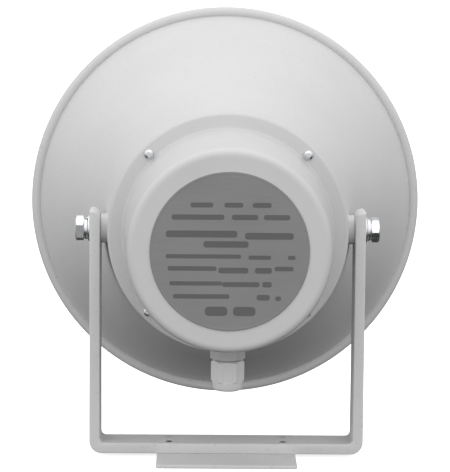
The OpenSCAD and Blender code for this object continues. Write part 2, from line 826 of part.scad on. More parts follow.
// A shallow dish that hollows towards the pole, glued to the voice coil's former
module diaphragm() {
    front = dome_arc(coil_r - 0.2, dome_h, surround_u + dome_t);
    back = dome_arc(coil_r - 0.2, dome_h, surround_u);
    color("goldenrod") lathe(concat(
        [[coil_out_r, surround_u], [coil_out_r, surround_u + dome_t]], front,
        [[0, front[10][1]], [0, back[10][1]]], [for (i = [10:-1:0]) back[i]]
    ));
}

module voice_coil() {
    winding_u = top_plate_u + (top_plate_t - winding_len)/2;
    color("chocolate") on_axis() translate([0, 0, winding_u]) {
        ring(coil_r + former_t, coil_r, surround_u - winding_u);
        ring(coil_out_r, coil_r + former_t - eps, winding_len);
    }
}

module top_plate() {
    color("gray") difference() {
        on_axis() translate([0, 0, top_plate_u]) ring(throat_plate_r, gap_out_r, top_plate_t);
        on_axis() around(4, 45) translate([driver_screw_r, 0, top_plate_u + driver_hole_floor])
            cylinder(d = driver_screw_d, h = top_plate_t, $fn = 32);
    }
}

module magnet_ring() {
    color("black") on_axis() translate([0, 0, magnet_u]) ring(magnet_r, magnet_in_r, magnet_t);
}

module yoke() {
    pole_top = top_plate_front_u;
    color("gray") difference() {
        lathe([
            [0, yoke_u], [magnet_r - 1, yoke_u], [magnet_r, yoke_u + 1], [magnet_r, magnet_u],
            [pole_r + 3, magnet_u], [pole_r, magnet_u + 3], [pole_r, pole_top], [0, pole_top]
        ]);
        pillar_places() translate([0, 0, yoke_u - 1]) cylinder(d = pillar_bolt_d, h = yoke_t, $fn = 32);
    }
}

// --- Transformer and terminals ------------------------------------------------------

pillar_bolt_d = 3;
pillar_af = 6;
pillar_x = 30;
pillar_z = 18;
chassis_x = 78;
chassis_z = 62;
chassis_corner_r = 12;
core_mid_z = 17;
core_u = chassis_u - coil_over - 1 - core_t;
leg_x = core_x/3;
window_z = core_z*0.6;
terminal_top_z = -13;

module pillar_places() {
    on_axis() for (x = [-1, 1], z = [-1, 1])
        translate([x*pillar_x, z*pillar_z, 0]) children();
}

module chassis_pillars() {
    color("silver") pillar_places() translate([0, 0, chassis_u + chassis_t]) difference() {
        linear_extrude(pillar_len) hexagon(pillar_af);
        translate([0, 0, -1]) cylinder(d = pillar_bolt_d, h = pillar_len + 2, $fn = 32);
    }
}

module chassis_plate() {
    color("silver") difference() {
        on_axis() translate([0, 0, chassis_u]) linear_extrude(chassis_t) {
            square([chassis_x - 2*chassis_corner_r, chassis_z], center = true);
            square([chassis_x, chassis_z - 2*chassis_corner_r], center = true);
            for (x = [-1, 1], z = [-1, 1])
                translate([x*(chassis_x/2 - chassis_corner_r), z*(chassis_z/2 - chassis_corner_r)])
                    circle(r = chassis_corner_r);
        }
        pillar_places() translate([0, 0, chassis_u - 1])
            cylinder(d = pillar_bolt_d + 0.2, h = chassis_t + 2, $fn = 32);
    }
}

module chassis_screws() {
    color("silver") pillar_places() translate([0, 0, chassis_u])
        pan_screw(pillar_bolt_d, m3_head, chassis_t + pillar_len + 3);
}

module transformer_core() {
    color("slategray") on_axis() translate([0, core_mid_z, core_u]) linear_extrude(core_t)
        difference() {
            square([core_x, core_z], center = true);
            for (s = [-1, 1]) translate([s*(leg_x/2 + core_x/12), 0])
                square([core_x/6, window_z], center = true);
        }
}

module transformer_coil() {
    gap = 0.25;
    outer_x = leg_x + core_x/3 - 2*gap;
    color("peru") on_axis() translate([0, core_mid_z, core_u + core_t/2]) difference() {
        cube([outer_x, window_z - 2*gap, core_t + 2*coil_over], center = true);
        cube([leg_x + 2*gap, window_z + 1, core_t + 2*gap], center = true);
    }
}

// Two straps over the core's yokes, each with a foot at both ends
module transformer_clamps() {
    strap_t = 1.2;
    strap_w = (core_z - window_z)/2 - 1;
    foot = 6;
    out = core_x/2 + 0.2;
    back = core_u - 0.2;
    color("silver") on_axis() for (s = [-1, 1])
        translate([0, core_mid_z + s*(core_z - strap_w)/2 - strap_w/2, 0]) {
            translate([-out - strap_t, 0, back - strap_t]) cube([2*(out + strap_t), strap_w, strap_t]);
            for (side = [-1, 1]) {
                translate([side*(out + strap_t/2) - strap_t/2, 0, back - strap_t])
                    cube([strap_t, strap_w, chassis_u - back + strap_t]);
                translate([side*(out + strap_t + foot/2) - foot/2 - (side > 0 ? strap_t : 0), 0,
                    chassis_u - strap_t]) cube([foot + strap_t, strap_w, strap_t]);
            }
        }
}

terminal_count = 3;
terminal_pitch = terminal_x/terminal_count;
terminal_bore_d = 5;
terminal_bore_h = 8;
terminal_screw_d = 3;
terminal_screw_head = [4.6, 1.4];
terminal_groove = [1.2, 4];

module terminal_screw_places() {
    on_axis() for (i = [0:terminal_count - 1])
        translate([(i - (terminal_count - 1)/2)*terminal_pitch, terminal_top_z - terminal_z/2,
            chassis_u - terminal_depth]) children();
}

module terminal_block() {
    color("white") difference() {
        on_axis() translate([-terminal_x/2, terminal_top_z - terminal_z, chassis_u - terminal_depth])
            cube([terminal_x, terminal_z, terminal_depth]);
        terminal_screw_places() {
            translate([0, 0, -1]) cylinder(d = terminal_bore_d, h = terminal_bore_h + 1, $fn = 32);
            translate([0, 0, terminal_bore_h + 1.5]) rotate([90, 0, 0])
                cylinder(d = terminal_screw_d, h = terminal_z + 2, center = true, $fn = 32);
        }
        on_axis() for (i = [1:terminal_count - 1])
            translate([(i - terminal_count/2)*terminal_pitch - terminal_groove[0]/2,
                terminal_top_z - terminal_z - 1, chassis_u - terminal_depth - 1])
                cube([terminal_groove[0], terminal_z + 2, terminal_groove[1] + 1]);
    }
}

module terminal_screws() {
    color("silver") terminal_screw_places() translate([0, 0, terminal_screw_head[1] + 0.8])
        pan_screw(terminal_screw_d, terminal_screw_head, terminal_bore_h - 2.4);
}

// Points are [x, up, forward] about the horn's axis
module line_wires() {
    color("firebrick") on_axis() for (s = [-1, 1])
        wire([
            [s*terminal_pitch, terminal_top_z - 3, chassis_u - 7.5],
            [s*terminal_pitch, terminal_top_z + 3, chassis_u - 7.5],
            [s*7, core_mid_z - core_z/2 - 4, core_u - coil_over + 2],
            [s*7, core_mid_z - window_z/2 + 2, core_u - coil_over - wire_d]
        ]);
}

module coil_wires() {
    color("black") on_axis() for (s = [-1, 1])
        wire([
            [s*9, core_mid_z + window_z/2 - 2, core_u - coil_over - wire_d],
            [s*9, core_mid_z + core_z/2 + 4, core_u - coil_over + 2],
            [s*22, core_mid_z + core_z/2 + 5, chassis_u + 4],
            [s*26, 39, magnet_u],
            [s*27, 37.5, top_plate_front_u - 1],
            [s*26, 37, top_plate_front_u + diaphragm_ring_t/2]
        ]);
}

bracket();
foot_plate();
foot_rivets();
bell();
pivot_inserts();
pivot_bolts();
spring_washers();
flat_washers();
cap_gasket();
rear_cap();
cap_screws();
rating_plate();
gland_body();
gland_washer();
gland_locknut();
gland_seal();
gland_nut();
bulkhead();
bulkhead_screws();
throat_tube();
throat_screws();
tube_gasket();
reflector_spider();
reflector();
reflector_screw();
throat_plate();
phase_plug();
driver_screws();
diaphragm_ring();
surround();
top_plate();
magnet_ring();
yoke();
diaphragm();
voice_coil();
chassis_pillars();
chassis_plate();
chassis_screws();
transformer_core();
transformer_coil();
transformer_clamps();
terminal_block();
terminal_screws();
line_wires();
coil_wires();
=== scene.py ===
"""Looks of a re-entrant alarm horn on a tilting bracket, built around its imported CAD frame.

Metres, in the frame's own axes: the mouth faces -Y, the hinge runs along X and the foot stands on z = 0.
u is the distance forward of the cap flange's rear face.
"""

import math

import bmesh
import bpy
from mathutils import Matrix, Vector


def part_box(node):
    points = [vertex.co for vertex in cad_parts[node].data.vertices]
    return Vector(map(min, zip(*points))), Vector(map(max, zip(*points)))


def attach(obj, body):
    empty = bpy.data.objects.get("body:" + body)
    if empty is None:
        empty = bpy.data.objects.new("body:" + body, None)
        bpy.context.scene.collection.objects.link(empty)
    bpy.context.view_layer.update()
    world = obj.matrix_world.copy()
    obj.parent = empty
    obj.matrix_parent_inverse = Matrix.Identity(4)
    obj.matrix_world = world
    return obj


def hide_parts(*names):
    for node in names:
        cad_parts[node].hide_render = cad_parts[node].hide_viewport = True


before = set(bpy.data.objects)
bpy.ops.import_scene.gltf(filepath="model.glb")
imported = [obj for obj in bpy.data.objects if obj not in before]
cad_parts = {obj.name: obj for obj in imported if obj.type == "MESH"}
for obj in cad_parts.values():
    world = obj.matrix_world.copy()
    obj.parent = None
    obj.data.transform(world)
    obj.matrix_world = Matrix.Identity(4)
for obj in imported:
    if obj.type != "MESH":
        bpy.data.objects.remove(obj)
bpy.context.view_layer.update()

MM = 0.001
HORN = "horn"
BRACKET = "bracket_body"

# --- Places and sizes, most of them taken from the frame ------------------------------------------


def middle(node):
    low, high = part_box(node)
    return (low + high) / 2


def span(node):
    low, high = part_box(node)
    return high - low


CAP_FLANGE_T = 4 * MM
FORWARD = Vector((0, -1, 0))
DOWN = Vector((0, 0, -1))
AXIS_Z = middle("cap_gasket").z
FLANGE = Vector((0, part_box("cap_gasket")[1].y + CAP_FLANGE_T, AXIS_Z))
REAR_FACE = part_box("rating_plate")[0].y
CAP_DEPTH = REAR_FACE - FLANGE.y
FLANGE_R = span("rear_cap").x / 2
MOUTH_R = span("bell").x / 2
BELL_LEN = FLANGE.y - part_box("bell")[0].y - 3 * MM
BAR_W = span("bracket").y
BAR_T = 6 * MM
BEND_R = 3 * MM
BEND_OUT_R = 7 * MM
LEG_IN = span("bracket").x / 2 - BAR_T
LEG_OUT = LEG_IN + BAR_T
FOOT_T = span("foot_plate").z
LEG_TOP_R = 5 * MM
GLAND_Y = middle("gland_nut").y

# --- Camera, light and floor ----------------------------------------------------------------------


CAMERA_AT = Vector((0.0155, 1.2743, 0.2875))
CAMERA_LENS = 169.95
# radians: a turn about Z, a dip below level and a lean of the camera itself
CAMERA_YAW, CAMERA_PITCH, CAMERA_ROLL = -0.011, 0.125, 0.0083


def make_camera():
    yaw, pitch, roll = CAMERA_YAW, CAMERA_PITCH, CAMERA_ROLL
    ahead = Vector((math.sin(yaw) * math.cos(pitch), -math.cos(yaw) * math.cos(pitch), -math.sin(pitch)))
    right = ahead.cross(Vector((0, 0, 1))).normalized()
    up = right.cross(ahead)
    turned_right = right * math.cos(roll) + up * math.sin(roll)
    turned_up = up * math.cos(roll) - right * math.sin(roll)
    camera = bpy.data.objects.new("camera", bpy.data.cameras.new("camera"))
    bpy.context.scene.collection.objects.link(camera)
    axes = Matrix((turned_right, turned_up, -ahead)).transposed().to_4x4()
    camera.matrix_world = Matrix.Translation(CAMERA_AT) @ axes
    camera.data.lens = CAMERA_LENS
    camera.data.clip_start = 0.05
    bpy.context.scene.camera = camera


LIGHT_SLOPE = (0.07, 0.27, 0.88)
LIGHT_LEVEL = 0.67
LIGHT_LEAST = 0.05
ZENITH_DIMMING = -0.22
GROUND_DIMMING = 0.2


def make_world():
    """A soft studio: most light falls from above, a little more comes from the camera's side and from +X.
    It is a little dimmer again overhead, and falls off faster below the horizon."""
    world = bpy.data.worlds.new("studio")
    bpy.context.scene.world = world
    world.use_nodes = True
    nodes, links = world.node_tree.nodes, world.node_tree.links

    def calculate(operation, *terms):
        """A math node. A term is a number or another node's output."""
        node = nodes.new("ShaderNodeMath")
        node.operation = operation
        for socket, term in zip(node.inputs, terms):
            if isinstance(term, float):
                socket.default_value = term
            else:
                links.new(term, socket)
        return node.outputs[0]

    direction = nodes.new("ShaderNodeTexCoord").outputs["Generated"]
    toward = nodes.new("ShaderNodeVectorMath")
    toward.operation = "DOT_PRODUCT"
    toward.inputs[1].default_value = LIGHT_SLOPE
    links.new(direction, toward.inputs[0])
    split = nodes.new("ShaderNodeSeparateXYZ")
    links.new(direction, split.inputs[0])
    height = split.outputs["Z"]
    squared = calculate("MULTIPLY", height, height)
    above = calculate("MULTIPLY_ADD", squared, ZENITH_DIMMING, toward.outputs["Value"])
    below = calculate("MULTIPLY_ADD", calculate("MINIMUM", height, 0.0), GROUND_DIMMING, above)
    strength = calculate("MAXIMUM", calculate("ADD", below, LIGHT_LEVEL), LIGHT_LEAST)
    nodes["Background"].inputs["Color"].default_value = (1, 1, 1, 1)
    links.new(strength, nodes["Background"].inputs["Strength"])
    bpy.context.scene.view_settings.view_transform = "Standard"


def make_floor():
    """White paper that glows a little, as on a light table, so that the object's shadow stays faint."""
    bm = bmesh.new()
    half = 30.0
    bm.faces.new([bm.verts.new((x * half, y * half, 0)) for x, y in ((-1, -1), (1, -1), (1, 1), (-1, 1))])
    mesh = bpy.data.meshes.new("floor")
    bm.to_mesh(mesh)
    floor = bpy.data.objects.new("floor", mesh)
    bpy.context.scene.collection.objects.link(floor)
    paper = bpy.data.materials.new("floor_paper")
    paper.use_nodes = True
    shader = paper.node_tree.nodes["Principled BSDF"]
    shader.inputs["Base Color"].default_value = (0.93, 0.93, 0.93, 1)
    shader.inputs["Roughness"].default_value = 1.0
    shader.inputs["Specular IOR Level"].default_value = 0.0
    shader.inputs["Emission Color"].default_value = (1, 1, 1, 1)
    shader.inputs["Emission Strength"].default_value = 0.76
    mesh.materials.append(paper)
    floor.visible_diffuse = False
    floor.visible_glossy = False


# --- Materials ------------------------------------------------------------------------------------


class Surface:
    """A procedural material on a Principled shader. Its textures use object coordinates, in metres."""

    def __init__(self, name, colour, roughness, metallic=0.0, specular=0.5):
        self.material = bpy.data.materials.new(name)
        self.material.use_nodes = True
        self.tree = self.material.node_tree
        self.shader = self.tree.nodes["Principled BSDF"]
        self.shader.inputs["Metallic"].default_value = metallic
        self.shader.inputs["Specular IOR Level"].default_value = specular
        self.shader.inputs["Roughness"].default_value = roughness
        self.roughness = roughness
        self.place = self.node("ShaderNodeTexCoord").outputs["Object"]
        self.colour = self.node("ShaderNodeRGB").outputs[0]
        self.colour.default_value = (*colour, 1)
        self.normal = None

    def node(self, kind, **settings):
        made = self.tree.nodes.new(kind)
        for key, value in settings.items():
            setattr(made, key, value)
        return made

    def link(self, source, target):
        self.tree.links.new(source, target)

    def noise(self, size, detail=2.0, stretch=(1, 1, 1), distortion=0.0):
        """Noise whose features are about size metres across, from 0 to 1."""
        place = self.node("ShaderNodeMapping")
        place.inputs["Scale"].default_value = [s / size for s in stretch]
        noise = self.node("ShaderNodeTexNoise")
        noise.inputs["Scale"].default_value = 1.0
        noise.inputs["Detail"].default_value = detail
        noise.inputs["Distortion"].default_value = distortion
        self.link(self.place, place.inputs["Vector"])
        self.link(place.outputs["Vector"], noise.inputs["Vector"])
        return noise.outputs["Fac"]

    def range(self, source, low, high, to_low, to_high):
        made = self.node("ShaderNodeMapRange")
        for key, value in (("From Min", low), ("From Max", high), ("To Min", to_low), ("To Max", to_high)):
            made.inputs[key].default_value = value
        self.link(source, made.inputs["Value"])
        return made.outputs["Result"]

    def tint(self, factor, colour):
        """Mixes a colour in where factor is high."""
        mix = self.node("ShaderNodeMix", data_type="RGBA")
        self.link(factor, mix.inputs["Factor"])
        self.link(self.colour, mix.inputs["A"])
        mix.inputs["B"].default_value = (*colour, 1)
        self.colour = mix.outputs["Result"]
        return self

    def mottle(self, size, amount, stretch=(1, 1, 1)):
        """Light and dark patches, amount each way."""
        shade = self.range(self.noise(size, 3.0, stretch), 0.3, 0.7, 1 - amount, 1 + amount)
        mix = self.node("ShaderNodeVectorMath", operation="SCALE")
        self.link(self.colour, mix.inputs[0])
        self.link(shade, mix.inputs["Scale"])
        self.colour = mix.outputs["Vector"]
        return self

    def polish(self, size, amount, stretch=(1, 1, 1)):
        """Patches that are rougher and smoother, amount each way."""
        patch = self.noise(size, 3.0, stretch)
        low, high = self.roughness - amount, self.roughness + amount
        self.link(self.range(patch, 0.3, 0.7, low, high), self.shader.inputs["Roughness"])
        return self

    def grain(self, size, depth, stretch=(1, 1, 1), detail=2.0):
        """Relief of that depth in metres. Calls add up."""
        bump = self.node("ShaderNodeBump")
        bump.inputs["Strength"].default_value = 1.0
        bump.inputs["Distance"].default_value = depth
        self.link(self.noise(size, detail, stretch), bump.inputs["Height"])
        if self.normal is not None:
            self.link(self.normal, bump.inputs["Normal"])
        self.normal = bump.outputs["Normal"]
        return self

    def wear_and_edge_highlight(self, colour, amount=0.6, start=0.53, end=0.62):
        """Another colour along convex edges, broken up by noise. Where it is lighter on paint and plastic it
        is a painted highlight; elsewhere it is wear.
        """
        # On paint and plastic this paints a highlight: convex edges take the lighter colour.
        edges = self.range(self.node("ShaderNodeNewGeometry").outputs["Pointiness"], start, end, 0, amount)
        broken = self.node("ShaderNodeMath", operation="MULTIPLY")
        self.link(edges, broken.inputs[0])
        self.link(self.range(self.noise(3 * MM), 0.35, 0.65, 0.2, 1), broken.inputs[1])
        return self.tint(broken.outputs[0], colour)

    def specks(self, size, share, colour):
        """Small scattered spots of another colour."""
        spots = self.range(self.noise(size, 1.0), 1 - share, 1 - share * 0.7, 0, 0.5)
        return self.tint(spots, colour)

    def done(self):
        self.link(self.colour, self.shader.inputs["Base Color"])
        if self.normal is not None:
            self.link(self.normal, self.shader.inputs["Normal"])
        return self.material


def grey(level):
    return (level, level, level)


def powder_coat(name, level):
    """Light grey paint: fine orange peel, faint clouding, dust specks, and edges painted a little brighter as
    a highlight.
    """
    paint = Surface(name, (level, level * 1.003, level), 0.46, specular=0.4)
    paint.mottle(45 * MM, 0.018).mottle(0.9 * MM, 0.02).specks(1.3 * MM, 0.33, grey(level * 0.62))
    # Painted highlight: convex edges tinted 12% lighter than the paint.
    paint.wear_and_edge_highlight(grey(level * 1.12), 0.5)
    paint.polish(20 * MM, 0.05).grain(1.1 * MM, 0.012 * MM).grain(0.35 * MM, 0.004 * MM)
    return paint.done()


def moulded_plastic(name, level, roughness=0.48):
    """Plain light plastic with a spark-eroded matt finish, and edges painted a little brighter as a
    highlight.
    """
    plastic = Surface(name, (level, level * 1.002, level * 0.998), roughness, specular=0.45)
    # Painted highlight: convex edges tinted 10% lighter than the plastic.
    plastic.mottle(30 * MM, 0.014).mottle(2.2 * MM, 0.008).wear_and_edge_highlight(grey(level * 1.1), 0.35)
    plastic.polish(12 * MM, 0.05).grain(0.45 * MM, 0.005 * MM)
    return plastic.done()


def plated_steel(name, colour, roughness, brushing=(1, 1, 1)):
    """Zinc or nickel plate: cloudy, finely scratched, duller in patches."""
    plate = Surface(name, colour, roughness, metallic=1.0)
    plate.mottle(3 * MM, 0.08).mottle(0.5 * MM, 0.05, brushing)
    plate.polish(1.8 * MM, 0.09, brushing).grain(0.25 * MM, 0.004 * MM, brushing)
    return plate.done()


def machined(name, colour, roughness):
    """Turned bare metal, with fine rings about the horn's axis left by the tool."""
    metal = Surface(name, colour, roughness, metallic=1.0)
    metal.mottle(15 * MM, 0.05).polish(6 * MM, 0.07)
    metal.grain(0.4 * MM, 0.004 * MM, (1, 0.05, 1)).wear_and_edge_highlight([min(1, c * 1.15) for c in colour], 0.5)
    return metal.done()


def rubber(name, level):
    skin = Surface(name, grey(level), 0.78, specular=0.3)
    skin.mottle(6 * MM, 0.15).polish(4 * MM, 0.08).grain(0.5 * MM, 0.01 * MM).wear_and_edge_highlight(grey(level * 1.8), 0.5)
    return skin.done()


def ferrite_black(name):
    stone = Surface(name, (0.035, 0.035, 0.04), 0.55, specular=0.5)
    stone.mottle(4 * MM, 0.2).specks(0.6 * MM, 0.36, grey(0.12)).polish(3 * MM, 0.1)
    stone.grain(0.5 * MM, 0.02 * MM).wear_and_edge_highlight(grey(0.11), 0.8)
    return stone.done()


def cloth_resin(name):
    """Phenolic cloth: amber resin over a fine weave."""
    cloth = Surface(name, (0.42, 0.21, 0.06), 0.4, specular=0.5)
    cloth.mottle(8 * MM, 0.15).mottle(0.5 * MM, 0.12, (1, 1, 0.15)).mottle(0.5 * MM, 0.12, (0.15, 1, 1))
    cloth.grain(0.5 * MM, 0.015 * MM, (1, 1, 0.15)).grain(0.5 * MM, 0.015 * MM, (0.15, 1, 1))
    cloth.polish(5 * MM, 0.08)
    return cloth.done()


def winding(name):
    """Enamelled wire under tape: fine turns along the horn's axis."""
    wire = Surface(name, (0.50, 0.20, 0.07), 0.35, metallic=0.6)
    wire.mottle(0.45 * MM, 0.25, (0.02, 1, 0.02)).grain(0.45 * MM, 0.05 * MM, (0.02, 1, 0.02))
    wire.polish(3 * MM, 0.1)
    return wire.done()


def laminations(name):
    """Stacked sheets along the horn's axis, varnished."""
    core = Surface(name, (0.10, 0.11, 0.13), 0.5, metallic=0.7)
    core.mottle(0.5 * MM, 0.3, (0.02, 1, 0.02)).grain(0.5 * MM, 0.04 * MM, (0.02, 1, 0.02))
    core.polish(5 * MM, 0.12).wear_and_edge_highlight((0.25, 0.2, 0.15), 0.5)
    return core.done()


def glazed(name):
    stone = Surface(name, (0.72, 0.70, 0.64), 0.2, specular=0.6)
    stone.mottle(7 * MM, 0.04).specks(0.8 * MM, 0.3, (0.4, 0.34, 0.26)).polish(4 * MM, 0.05)
    stone.grain(3 * MM, 0.02 * MM)
    return stone.done()


def printed_plate(name, level):
    """Matt grey print on thin metal, brushed across."""
    plate = Surface(name, (level, level, level * 1.01), 0.5, metallic=0.15, specular=0.4)
    plate.mottle(30 * MM, 0.04).mottle(0.6 * MM, 0.03, (0.04, 1, 1))
    plate.polish(10 * MM, 0.06).grain(0.3 * MM, 0.003 * MM, (0.04, 1, 1))
    return plate.done()


def insulation(name, colour):
    skin = Surface(name, colour, 0.35, specular=0.5)
    skin.mottle(3 * MM, 0.1).polish(4 * MM, 0.08).grain(0.8 * MM, 0.01 * MM)
    return skin.done()


# --- Mesh tools -----------------------------------------------------------------------------------

SHARP = math.radians(32)


def soften(points, radius=0.0, steps=5, closed=True):
    """Rounds an outline's corners. A point may carry its own radius as a third number."""
    out = []
    for i, point in enumerate(points):
        here = Vector(point[:2])
        own = point[2] if len(point) > 2 else radius
        back = Vector(points[i - 1][:2]) - here
        on = Vector(points[(i + 1) % len(points)][:2]) - here
        at_end = not closed and i in (0, len(points) - 1)
        if own == 0 or at_end or back.angle(on) > math.radians(177):
            out.append(tuple(here))
            continue
        reach = min(own / math.tan(back.angle(on) / 2), 0.48 * back.length, 0.48 * on.length)
        start, end = here + back.normalized() * reach, here + on.normalized() * reach
        for k in range(steps + 1):
            t = k / steps
            out.append(tuple(start * (1 - t) ** 2 + here * 2 * t * (1 - t) + end * t * t))
    return out


def revolve(bm, column, origin, axis, segments=128, closed=True, side=None):
    """Turns a column of (radius, distance along axis) pairs about an axis. column is a list, or gives one
    for each angle. An open column starts and ends on the axis."""
    axis = axis.normalized()
    side = (side or axis.orthogonal()).normalized()
    up = axis.cross(side)
    columns = []
    for i in range(segments):
        angle = 2 * math.pi * i / segments
        points = column(angle) if callable(column) else column
        out = side * math.cos(angle) + up * math.sin(angle)
        columns.append([origin + axis * along + out * radius for radius, along in points])
    flat = column(0.0) if callable(column) else column
    rings = []
    for k, (radius, _) in enumerate(flat):
        if radius < 1e-9:
            rings.append([bm.verts.new(columns[0][k])] * segments)
        else:
            rings.append([bm.verts.new(c[k]) for c in columns])
    for k in range(len(rings) if closed else len(rings) - 1):
        a, b = rings[k], rings[(k + 1) % len(rings)]
        for i in range(segments):
            j = (i + 1) % segments
            corners = list(dict.fromkeys((a[i], a[j], b[j], b[i])))
            if len(corners) > 2:
                bm.faces.new(corners)


def slab(bm, outline, place, thickness, edge=0.0, steps=3):
    """A flat plate of an outline in XY, from z 0 to thickness, with its rims rounded, set in place."""
    face = bm.faces.new([bm.verts.new(place @ Vector((x, y, 0))) for x, y in outline])
    made = bmesh.ops.extrude_face_region(bm, geom=[face])["geom"]
    moved = [v for v in made if isinstance(v, bmesh.types.BMVert)]
    bmesh.ops.translate(bm, verts=moved, vec=place.to_3x3() @ Vector((0, 0, thickness)))
    top = [f for f in made if isinstance(f, bmesh.types.BMFace)]
    if edge:
        rims = list({e for f in [face, *top] for e in f.edges})
        bmesh.ops.bevel(bm, geom=rims, offset=edge, segments=steps, profile=0.5, affect="EDGES")


def finish_mesh(bm, name, material, crease=SHARP):
    """Makes the object: outward normals, smooth faces, and sharp edges where the surface really turns."""
    bmesh.ops.recalc_face_normals(bm, faces=bm.faces)
    for face in bm.faces:
        face.smooth = True
    for edge in bm.edges:
        edge.smooth = len(edge.link_faces) == 2 and edge.calc_face_angle(0) < crease
    mesh = bpy.data.meshes.new(name)
    bm.to_mesh(mesh)
    bm.free()
    mesh.materials.append(material)
    made = bpy.data.objects.new(name, mesh)
    bpy.context.scene.collection.objects.link(made)
    return made


def piece(bm, name, material, body, nodes=(), crease=SHARP):
    made = finish_mesh(bm, name, material, crease)
    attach(made, body)
    if nodes:
        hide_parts(*nodes)
    return made


def cut(made, bm):
    """Takes a closed cutter away from an object, for good."""
    cutter = finish_mesh(bm, "cutter", made.data.materials[0])
    modifier = made.modifiers.new("cut", "BOOLEAN")
    modifier.operation = "DIFFERENCE"
    modifier.solver = "EXACT"
    modifier.object = cutter
    bpy.context.view_layer.update()
    solid = made.evaluated_get(bpy.context.evaluated_depsgraph_get())
    result = bpy.data.meshes.new_from_object(solid)
    made.modifiers.clear()
    made.data = result
    bpy.data.objects.remove(cutter)
    shape = bmesh.new()
    shape.from_mesh(result)
    bmesh.ops.remove_doubles(shape, verts=shape.verts, dist=1e-7)
    for edge in shape.edges:
        edge.smooth = len(edge.link_faces) == 2 and edge.calc_face_angle(0) < SHARP
    for face in shape.faces:
        face.smooth = True
    shape.to_mesh(result)
    shape.free()


def arc(x, y, radius, start, end, steps):
    turns = [math.radians(start + (end - start) * i / steps) for i in range(steps + 1)]
    return [(x + radius * math.cos(a), y + radius * math.sin(a)) for a in turns]


def scaled(points):
    """Millimetres to metres."""
    return [tuple(v * MM for v in p) for p in points]


def hex_out(across_flats, angle):
    """Distance from a hexagon's middle to its side, where one flat faces angle 0."""
    sector = math.radians(60)
    return across_flats / 2 / math.cos((angle + sector / 2) % sector - sector / 2)


# --- Bell -----------------------------------------------------------------------------------------

RING_IN_R = 57 * MM
RING_U = CAP_FLANGE_T + 1.5 * MM
RING_FRONT_U = RING_U + 6.5 * MM
NECK_R = FLANGE_R - 1 * MM
NECK_END_R = LEG_IN - 0.5 * MM
NECK_END_U = FLANGE.y + 16 * MM
BELL_WALL = 2 * MM
LIP_R = 3 * MM
CONE_END_R = MOUTH_R - 2 * LIP_R
CONE_END_U = BELL_LEN - LIP_R
BOSS_R = 8.4 * MM
SHELF_U = FLANGE.y + 13 * MM
SHELF_T = 3 * MM
SHELF_IN_R = 44 * MM


def bell_r(u):
    """The bell's outer radius: a quadratic through its neck, the gap between the legs and its mouth."""
    lead, whole = NECK_END_U - RING_U, CONE_END_U - RING_U
    first = (NECK_END_R - NECK_R) / lead
    bend = ((CONE_END_R - NECK_R) / whole - first) / (whole - lead)
    return NECK_R + (first - bend * lead) * (u - RING_U) + bend * (u - RING_U) ** 2


def bell_wall(start, end, inset, steps=60):
    places = [start + (end - start) * i / steps for i in range(steps + 1)]
    return [(bell_r(u) - inset, u) for u in places]


def make_bell(material):
    """One closed section, turned: rear ring, outer wall, rolled lip, inner wall and the inner shelf."""
    outside = [(FLANGE_R, RING_U + 3 * MM), (bell_r(RING_U + 3.6 * MM), RING_U + 3.6 * MM)]
    rear = soften([(RING_IN_R, RING_U, 0.4 * MM), (FLANGE_R, RING_U, 0.5 * MM), (*outside[0], 0.9 * MM)],
                  closed=False, steps=3)
    bead = LIP_R + 0.2 * MM
    lip = arc(MOUTH_R - bead, BELL_LEN + LIP_R - bead, bead, -136, 195, 30)
    inside = bell_wall(CONE_END_U, SHELF_U + SHELF_T, BELL_WALL)
    shelf_top = SHELF_U + SHELF_T
    shelf = soften([(bell_r(shelf_top) - BELL_WALL, shelf_top), (SHELF_IN_R, shelf_top),
                    (SHELF_IN_R, SHELF_U), (bell_r(SHELF_U) - BELL_WALL, SHELF_U)], 0.4 * MM, 3, False)
    rest = bell_wall(SHELF_U, RING_FRONT_U, BELL_WALL, 12) + [(RING_IN_R, RING_FRONT_U)]
    bm = bmesh.new()
    profile = rear + [outside[1]] + bell_wall(RING_U + 4.5 * MM, CONE_END_U + 0.7 * MM, 0)
    revolve(bm, profile + lip + inside + shelf[1:-1] + rest, FLANGE, FORWARD, 288)
    for side in (-1, 1):
        boss(bm, side)
    piece(bm, "horn_bell", material, HORN, ["bell"])


def boss(bm, side, fillet=1.0 * MM, steps=6, segments=72):
    """A pivot boss: a turned face outside, a fillet that follows the bell's curve, and a root in the wall."""
    rings = [(BOSS_R - 0.7 * MM, None, LEG_IN), (BOSS_R - 0.35 * MM, None, LEG_IN - 0.1 * MM),
             (BOSS_R - 0.08 * MM, None, LEG_IN - 0.36 * MM), (BOSS_R, None, LEG_IN - 0.75 * MM)]
    for k in range(steps + 1):
        t = math.pi / 2 * k / steps
        rings.append((BOSS_R + fillet * (1 - math.cos(t)), fillet * (1 - math.sin(t)), None))
    rings.append((BOSS_R + fillet * 0.9, -1.2 * MM, None))
    made = []
    for radius, rise, reach in rings:
        ring = []
        for i in range(segments):
            angle = 2 * math.pi * i / segments
            y, z = radius * math.cos(angle), radius * math.sin(angle)
            if reach is None:
                wall = bell_r(FLANGE.y - y)
                x = min(math.sqrt(max(wall ** 2 - z ** 2, 0)) + rise, LEG_IN - 0.75 * MM)
            else:
                x = reach
            ring.append(bm.verts.new((side * x, y, AXIS_Z + z)))
        made.append(ring)
    for a, b in zip(made, made[1:]):
        for i in range(segments):
            j = (i + 1) % segments
            bm.faces.new((a[i], a[j], b[j], b[i]))
    bm.faces.new(made[0])
    bm.faces.new(made[-1])


# --- Hinge hardware -------------------------------------------------------------------------------

BOLT_R = 4 * MM
BOLT_AF = 13 * MM
BOLT_HEAD_H = 5.3 * MM
FLAT_IN_R = 4.2 * MM
FLAT_OUT_R = 7.5 * MM
FLAT_T = 1.2 * MM
SPRING_T = 1.9 * MM
HINGE = Vector((0, 0, AXIS_Z))
HEX_CREASE = math.radians(24)


def outward(side):
    return Vector((side, 0, 0))


